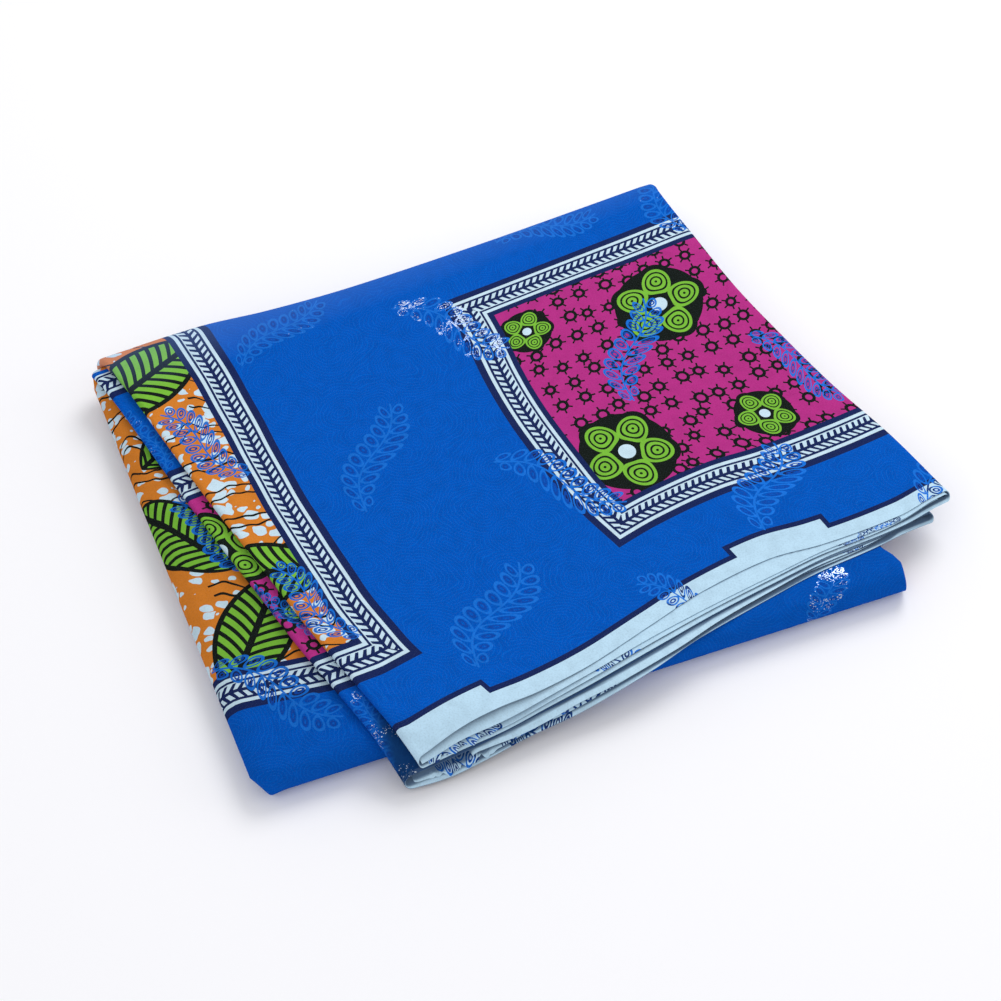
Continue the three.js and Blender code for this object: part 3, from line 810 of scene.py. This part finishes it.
# Their course. Each is one long flattened tube of cloth: open at the flap's front, over the flap, round the
# rear fold, through the base, round the front fold and back along the tail.
COURSES = {
    "upper": {"base": "base_bottom", "tail": "tail_top", "rear": 1, "front": 0,
              "rear_bulge": (4, -1), "front_bulge": (-1, -1), "v": 0},
    "lower": {"base": "base_top", "tail": "tail_bottom", "rear": 0, "front": 1,
              "rear_bulge": (-1, -1), "front_bulge": (-3, -3), "v": LOWER_V},
}
RANKS = {"upper": (0, 3), "lower": (4, 7)}
ACROSS = 96
MOUTH_ROWS = 24
ROWS_CROWD = 1.7  # the mouth's rows lie closer towards its lip
FLAP_ROWS = 81
FOLD_ROWS = 21
BASE_ROWS = 50
TAIL_ROWS = 39
REAR_LEAD = 3  # how far before its axis the rear fold starts
DROOP_WIDTH = 12  # width of the drooping strip at a roll's left side
NIP = {"grows": (0.7, 0.9), "eases": (0.93, 1.0)}
TAIL_LENGTH = 340
TAIL_HEM = 12
FAR_INSIDE = 200.0  # a distance from the selvedge that no hem reaches
INSIDE_HEM = 1.6  # how much narrower the hem is on a mouth's inner face
CORNER_HEM = {"width": 8, "ends": (-126, -100)}  # the hem narrows at the lower roll's left corner
# Painted shade on the lower roll's strip: where the upper roll covers it, and a painted shadow beside the
# flap.
COVERED = (-128, -118)  # where the upper roll starts to cover the lower
SHADE_BESIDE_FLAP = {"depth": 0.94, "x": (-147, -138), "y": (-148, -112)}  # the dark strip beside the flap


def flap_ring(roll, d, wall):
    """Top and bottom of a ring on the flap, d back from its front edge. With a wall, the mouth's inside."""
    x, y, s, rise = flap_row(roll, d, ACROSS)
    x = mix(x[0] + wall, x[-1] - wall, s)
    forward = 1 - smooth(d, 0, MOUTH_DEPTH)
    top_y = y - reach(RANKS[roll][0], s) * forward
    bottom_y = y - reach(RANKS[roll][1], s) * forward
    roof = flap_heights(roll, x, top_y)[1] - wall
    floor = flap_heights(roll, x, bottom_y)[0] + wall
    tip_y = (top_y + bottom_y) / 2
    tip_z = (roof + floor) / 2
    top = np.stack([x, mix(tip_y, top_y, rise), mix(tip_z, roof, rise)], axis=1)
    bottom = np.stack([x, mix(tip_y, bottom_y, rise), mix(tip_z, floor, rise)], axis=1)
    return top, bottom


def turned_ring(axis, axis_z, radius, angle, side, left, right, droop=0):
    """Top and bottom of a ring in a fold or a flat stretch, turned by an angle about the fold's axis. Its
    left side may droop over the layers below."""
    x, rise = places_across(left, right, ROLL / 2, ROLL / 5, ACROSS)
    half = ROLL / 2 * rise
    down = droop * np.clip((left + DROOP_WIDTH - x) / DROOP_WIDTH, 0, 1) ** 2
    rings = []
    for out in (radius + half, radius - half):
        rings.append(np.stack([
            x, axis(x) + side * math.sin(angle) * out, axis_z + math.cos(angle) * out - down], axis=1))
    return rings


def fold_rings(axis, axis_z, radius, side, start, end, bulge, droops):
    rings = []
    for t in np.linspace(0, 1, FOLD_ROWS):
        stand = math.sin(math.pi * t)
        left = mix(start[0], end[0], smooth(t, 0, 1)) - bulge[0] * stand
        right = mix(start[1], end[1], smooth(t, 0, 1)) + bulge[1] * stand
        rings.append(turned_ring(axis, axis_z, radius, math.pi * t, side, left, right, mix(*droops, t)))
    return rings


def stretch_rings(stretch, rear_end, fractions, angle):
    rings = []
    for t in fractions:
        left = mix(stretch["rear"][0], stretch["front"][0], t)
        right = mix(stretch["rear"][1], stretch["front"][1], t)
        right = right - stretch["nip"] * smooth(t, *NIP["grows"]) * (1 - smooth(t, *NIP["eases"]))
        z = stretch["level"] * PITCH + ROLL / 2
        rings.append(turned_ring(
            lambda x: mix(rear_end(x), front_axis(x), t), z, 0, angle, 1, left, right, stretch["droop"]))
    return rings


def arc_print(face, other, u_face):
    """u round a ring: the main face's own on its flat, and carried on round both rounded sides."""
    steps = np.linalg.norm(np.diff(face, axis=0), axis=1)
    u_face = u_face.copy()
    for i in range(SIDE_POINTS - 1, 0, -1):
        u_face[i - 1] = u_face[i] - steps[i - 1]
    for i in range(len(face) - SIDE_POINTS, len(face) - 1):
        u_face[i + 1] = u_face[i] + steps[i]
    steps = np.linalg.norm(np.diff(other, axis=0), axis=1)
    out = np.concatenate([[0], np.cumsum(steps)])
    middle = len(face) // 2
    u_other = np.where(np.arange(len(face)) < middle, u_face[0] - out, u_face[-1] + (out[-1] - out))
    return u_face, u_other


def roll_piece(roll, name, node):
    course = COURSES[roll]
    base = STRETCHES[course["base"]]
    tail = STRETCHES[course["tail"]]
    mouth = [MOUTH_DEPTH * t for t in np.linspace(0, 1, MOUTH_ROWS) ** ROWS_CROWD]
    flap = list(np.linspace(MOUTH_DEPTH, FLAP_DEPTH - REAR_LEAD, FLAP_ROWS + 1)[1:])
    rings = [flap_ring(roll, d, CLOTH) for d in mouth[::-1]]
    rings += [flap_ring(roll, d, 0) for d in mouth + flap]
    depths = mouth[::-1] + mouth + flap
    on_flap = len(rings)
    inner = (ROLL + SEAM) / 2
    rear_z = 4 * PITCH - SEAM / 2
    front_z = 2 * PITCH - SEAM / 2
    rings += fold_rings(
        rear_axis, rear_z, inner + course["rear"] * PITCH, 1, flap_sides(roll, REAR_ENDS[0]), base["rear"],
        course["rear_bulge"], (0, base["droop"]))
    rings += stretch_rings(base, rear_axis, np.linspace(0, 1, BASE_ROWS + 2)[1:-1], math.pi)
    front = fold_rings(
        front_axis, front_z, inner + course["front"] * PITCH, -1, base["front"], tail["front"],
        course["front_bulge"], (base["droop"], 0))
    rings += [(bottom, top) for top, bottom in front]
    rings += stretch_rings(tail, tail_end, np.linspace(1, 0, TAIL_ROWS + 1)[1:], 0)

    main = 0 if roll == "upper" else 1
    prints = []
    loops = []
    for i, ring in enumerate(rings):
        face = ring[main]
        x, y = face.T[:2]
        if i < on_flap:
            u_row, v_row = flap_print(x, y)
            v_row = v_row + course["v"]
        elif roll == "lower" and i < on_flap + FOLD_ROWS + BASE_ROWS:
            u_row, v_row = base_print(x, y)
        else:
            step = np.linalg.norm(face - before, axis=1)
            v_row = v_row + (step if roll == "upper" else -step)
        before = face
        u_main, u_other = arc_print(face, ring[1 - main], u_row)
        both = [None, None]
        both[main] = np.stack([u_main, v_row], axis=1)
        both[1 - main] = np.stack([u_other, v_row], axis=1)
        top, bottom = ring
        loops.append(np.concatenate([top, bottom[-2:0:-1]]))
        prints.append(np.concatenate([both[0], both[1][-2:0:-1]]))
    edges = np.full(len(rings), FAR_INSIDE)
    edges[:on_flap] = depths
    edges[-TAIL_ROWS:] = np.minimum(FAR_INSIDE, np.linspace(1, 0, TAIL_ROWS) * TAIL_LENGTH + TAIL_HEM)
    loops = np.array(loops)
    edges = np.repeat(edges[:, None], loops.shape[1], axis=1)
    edges[:MOUTH_ROWS] *= INSIDE_HEM
    # Painted shade on each mouth's inner face, under the leaf above.
    painted_shades = np.zeros_like(edges)
    inside = loops[:MOUTH_ROWS]
    painted_shades[:MOUTH_ROWS] = shade_under_lip(RANKS[roll][1], inside[..., 0], inside[..., 1])
    if roll == "lower":
        corner = 1 - smooth(loops[MOUTH_ROWS:on_flap, :, 0], *CORNER_HEM["ends"])
        edges[MOUTH_ROWS:on_flap] += CORNER_HEM["width"] * corner
        x = loops[MOUTH_ROWS:2 * MOUTH_ROWS, :, 0]
        y = loops[MOUTH_ROWS:2 * MOUTH_ROWS, :, 1]
        # Painted shade on the lower roll's strip: under the upper roll's lip, and a painted shadow beside
        # the flap.
        covered = shade_under_lip(RANKS[roll][0], x, y) * smooth(x, *COVERED)
        beside = smooth(x, *SHADE_BESIDE_FLAP["x"]) * (1 - smooth(y, *SHADE_BESIDE_FLAP["y"]))
        painted_shades[MOUTH_ROWS:2 * MOUTH_ROWS] = np.maximum(covered, SHADE_BESIDE_FLAP["depth"] * beside)
    return cloth_piece(name, loops, np.array(prints), edges, painted_shades, wax_print, node)


upper_roll = roll_piece("upper", "upper_cloth_roll", "upper_roll")
lower_roll = roll_piece("lower", "lower_cloth_roll", "lower_roll")

# ------------------------------------------------------------------------------
# Leaves inside the open mouths, two to a roll. They are inner turns of the same cotton, and their pale
# selvedges fan out between the roll's own. The roll around them nips them, and nothing else holds them.
LEAF = 0.4  # thickness of a leaf
LEAF_ROWS = 30
LEAF_ROWS_CROWD = 1.6
LEAF_ACROSS = 270
SIDE_GAP = 2.2  # from the roll's side to a leaf's
WALL_GAP = 0.15  # from the roll's wall to a leaf
LEAF_HEM = 0.75  # how much wider the hem is on a leaf
LEAF_V = {"first": 3000, "each": 200}
LEAF_U = 37
TANGLE = {"starts": (-124, -117), "stops": (-88, -76), "out": 2.4, "back": 1.8, "up": 1.3,
          "wave": 2.2}
CRUMPLE = {"up": 0.3, "fades": (0.02, 0.22), "wave": 5.3}
RUFFLE = {"wave": 4.1, "fine_wave": 1.9, "fine": 0.6}
SETTLES = (0.08, 0.4)  # shares of the front edge over which a leaf goes from its first height to its second
SIDE_KEEPS = 0.12  # how far a leaf's side edge keeps to its own height
MOUTH_LEAVES = (
    {"roll": "upper", "number": 1, "rank": 1, "at": (0.5, 0.95), "starts": 0, "stops": 0, "tangled": 0},
    {"roll": "upper", "number": 2, "rank": 2, "at": (0.1, 0.5), "starts": 4, "stops": 8, "tangled": 1},
    {"roll": "lower", "number": 1, "rank": 5, "at": (0.9, 0.95), "starts": 42, "stops": 10, "tangled": 0},
    {"roll": "lower", "number": 2, "rank": 6, "at": (0.25, 0.35), "starts": 4, "stops": 14, "tangled": 1},
)


def leaf_loop(x, y, z):
    """A loop round a row of a leaf's middle points."""
    half = LEAF / 2
    top = np.stack([x, y, z + half], axis=1)
    bottom = np.stack([x, y, z - half], axis=1)
    tip_left = np.array([[x[0] - half, y[0], z[0]]])
    tip_right = np.array([[x[-1] + half, y[-1], z[-1]]])
    return np.concatenate([tip_left, top, tip_right, bottom[::-1]])


def round_leaf(row):
    """A row's values in the order of a leaf's loop."""
    return np.concatenate([row[:1], row, row[-1:], row[::-1]])


def mouth_leaf(leaf):
    roll = leaf["roll"]
    loops = []
    prints = []
    edges = []
    painted_shades = []
    for d in MOUTH_DEPTH * np.linspace(0, 0.99, LEAF_ROWS) ** LEAF_ROWS_CROWD:
        x, y, s, rise = flap_row(roll, d, LEAF_ACROSS)
        forward = 1 - smooth(d, 0, MOUTH_DEPTH)
        y = y - reach(leaf["rank"], s) * forward
        x = mix(x[0] + SIDE_GAP + leaf["starts"] * forward, x[-1] - SIDE_GAP - leaf["stops"] * forward, s)
        tangle = smooth(x, *TANGLE["starts"]) * (1 - smooth(x, *TANGLE["stops"]))
        tangle = tangle * forward**3 * leaf["tangled"]
        ruffle = np.abs(np.sin(x / RUFFLE["wave"] + leaf["rank"]))
        ruffle = ruffle + RUFFLE["fine"] * np.abs(np.sin(x / RUFFLE["fine_wave"] + d / 4))
        y = y - tangle * (TANGLE["out"] * ruffle - TANGLE["back"])
        floor, top = flap_heights(roll, x, y)
        floor = floor + CLOTH + LEAF / 2 + WALL_GAP
        top = top - CLOTH - LEAF / 2 - WALL_GAP
        middle = (floor + top) / 2
        own = mix(floor, top, mix(*leaf["at"], smooth(s, *SETTLES)))
        start = 2 * leaf["rank"]
        crumple = CRUMPLE["up"] * np.sin(x / CRUMPLE["wave"] + start) * (1 - smooth(s, *CRUMPLE["fades"]))
        crumple = crumple * forward + TANGLE["up"] * tangle * np.sin(x / TANGLE["wave"] + d / 3 + start)
        z = np.clip(mix(middle, own, mix(SIDE_KEEPS, 1, rise)) + crumple, floor, top)
        # Painted shade under the leaf above.
        painted_shade = shade_under_lip(leaf["rank"], x, y)
        painted_shades.append(round_leaf(painted_shade))
        loops.append(leaf_loop(x, y, z))
        u, v = flap_print(x, y + reach(leaf["rank"], s) * forward)
        v = v + LEAF_V["first"] + LEAF_V["each"] * leaf["rank"]
        row = np.stack([u + LEAF_U * leaf["rank"], v], axis=1)
        prints.append(round_leaf(row))
        edges.append(np.full(len(prints[-1]), d * LEAF_HEM))
    return cloth_piece(
        f"{roll}_inner_leaf_{leaf['number']}", np.array(loops), np.array(prints), np.array(edges),
        np.array(painted_shades), wax_print, f"{roll}_leaf_{leaf['number']}")


for leaf in MOUTH_LEAVES:
    piece = mouth_leaf(leaf)

# ------------------------------------------------------------------------------
# The tail's selvedges, under the rear fold: two leaves of the same cotton from each roll's end. They are the
# woven edge of the cut, and the layers above hold them.
TAIL_ACROSS = 90
TAIL_LEAF_ROWS = 8
TAIL_SIDE_GAP = 2
TAIL_WAVES = 7  # radians of wandering along an edge
TAIL_WANDER = 1.2
TAIL_RIPPLE = {"up": 0.15, "wave": 19}
TAIL_V = -2500
TAIL_U = 53
TAIL_LEAVES = (
    {"stretch": "tail_bottom", "z": 0.5, "out": 9},
    {"stretch": "tail_bottom", "z": 4.3, "out": 7.6},
    {"stretch": "tail_top", "z": 0.5, "out": 11},
    {"stretch": "tail_top", "z": 4.3, "out": 8},
)


def tail_leaf(number, leaf):
    stretch = STRETCHES[leaf["stretch"]]
    x = np.linspace(stretch["rear"][0] + TAIL_SIDE_GAP, stretch["rear"][1] - TAIL_SIDE_GAP, TAIL_ACROSS)
    s = np.linspace(0, 1, TAIL_ACROSS)
    z = stretch["level"] * PITCH + leaf["z"] + 0 * x
    loops = []
    prints = []
    edges = []
    for t in np.linspace(0, 1, TAIL_LEAF_ROWS):
        out = leaf["out"] + TAIL_WANDER * np.sin(TAIL_WAVES * s + 2 * number)
        y = tail_end(x) + SEAM + t * out
        ripple = TAIL_RIPPLE["up"] * t * np.sin(x / TAIL_RIPPLE["wave"] + number)
        loops.append(leaf_loop(x, y, z + ripple))
        row = np.stack([x + TAIL_U * number, 0 * x + TAIL_V + t * out], axis=1)
        prints.append(round_leaf(row))
        edges.append(np.full(len(prints[-1]), (1 - t) * leaf["out"]))
    edges = np.array(edges)[::-1]
    return cloth_piece(
        f"tail_selvedge_{number + 1}", np.array(loops)[::-1], np.array(prints)[::-1], edges, 0 * edges,
        wax_print, f"tail_leaf_{number + 1}")


for number, leaf in enumerate(TAIL_LEAVES):
    piece = tail_leaf(number, leaf)

# ------------------------------------------------------------------------------
# The floor, the light and the camera. The floor is a wide sheet of pale studio paper that the cloth lies on.
# Three soft round lamps light it under a pale sky.
FLOOR_SIZE = 12
FLOOR_GAP = 0.0004
bpy.ops.mesh.primitive_plane_add(size=FLOOR_SIZE, location=(0, 0, -FLOOR_GAP))
floor = bpy.context.object
floor.name = "studio_floor"
paper = bpy.data.materials.new("studio_paper")
paper.use_nodes = True
paper_shader = paper.node_tree.nodes["Principled BSDF"]
paper_shader.inputs["Base Color"].default_value = (0.975, 0.968, 0.99, 1)
paper_shader.inputs["Roughness"].default_value = 0.9
floor.data.materials.append(paper)

world = bpy.data.worlds.new("studio")
world.use_nodes = True
world.node_tree.nodes["Background"].inputs["Color"].default_value = (0.97, 0.98, 1.0, 1)
world.node_tree.nodes["Background"].inputs["Strength"].default_value = 0.71
bpy.context.scene.world = world

LIGHTS = (
    {"name": "key", "at": (1.1, 0.9, 1.7), "size": 1.2, "power": 18},
    {"name": "fill", "at": (-1.3, -0.8, 1.6), "size": 1.6, "power": 4},
    {"name": "edge", "at": (1.7, -0.6, 0.7), "size": 1.2, "power": 3.5},
)
for light in LIGHTS:
    lamp = bpy.data.lights.new(light["name"], "AREA")
    lamp.shape = "DISK"
    lamp.size = light["size"]
    lamp.energy = light["power"]
    holder = bpy.data.objects.new(light["name"], lamp)
    holder.location = light["at"]
    away = np.array(light["at"]) / np.linalg.norm(light["at"])
    holder.rotation_euler = (math.acos(away[2]), 0, math.atan2(away[0], -away[1]))
    bpy.context.collection.objects.link(holder)

AZIMUTH = math.radians(-24)
ELEVATION = math.radians(50)
DISTANCE = 1.25
TARGET = (-0.0219, -0.02565, 0.015)
camera_data = bpy.data.cameras.new("camera")
camera_data.lens = 68.33
camera_data.sensor_width = 36
camera = bpy.data.objects.new("camera", camera_data)
camera.location = (
    TARGET[0] + DISTANCE * math.sin(AZIMUTH) * math.cos(ELEVATION),
    TARGET[1] - DISTANCE * math.cos(AZIMUTH) * math.cos(ELEVATION),
    TARGET[2] + DISTANCE * math.sin(ELEVATION),
)
camera.rotation_euler = (math.pi / 2 - ELEVATION, 0, AZIMUTH)
bpy.context.collection.objects.link(camera)
bpy.context.scene.camera = camera
bpy.context.scene.view_settings.view_transform = "Standard"
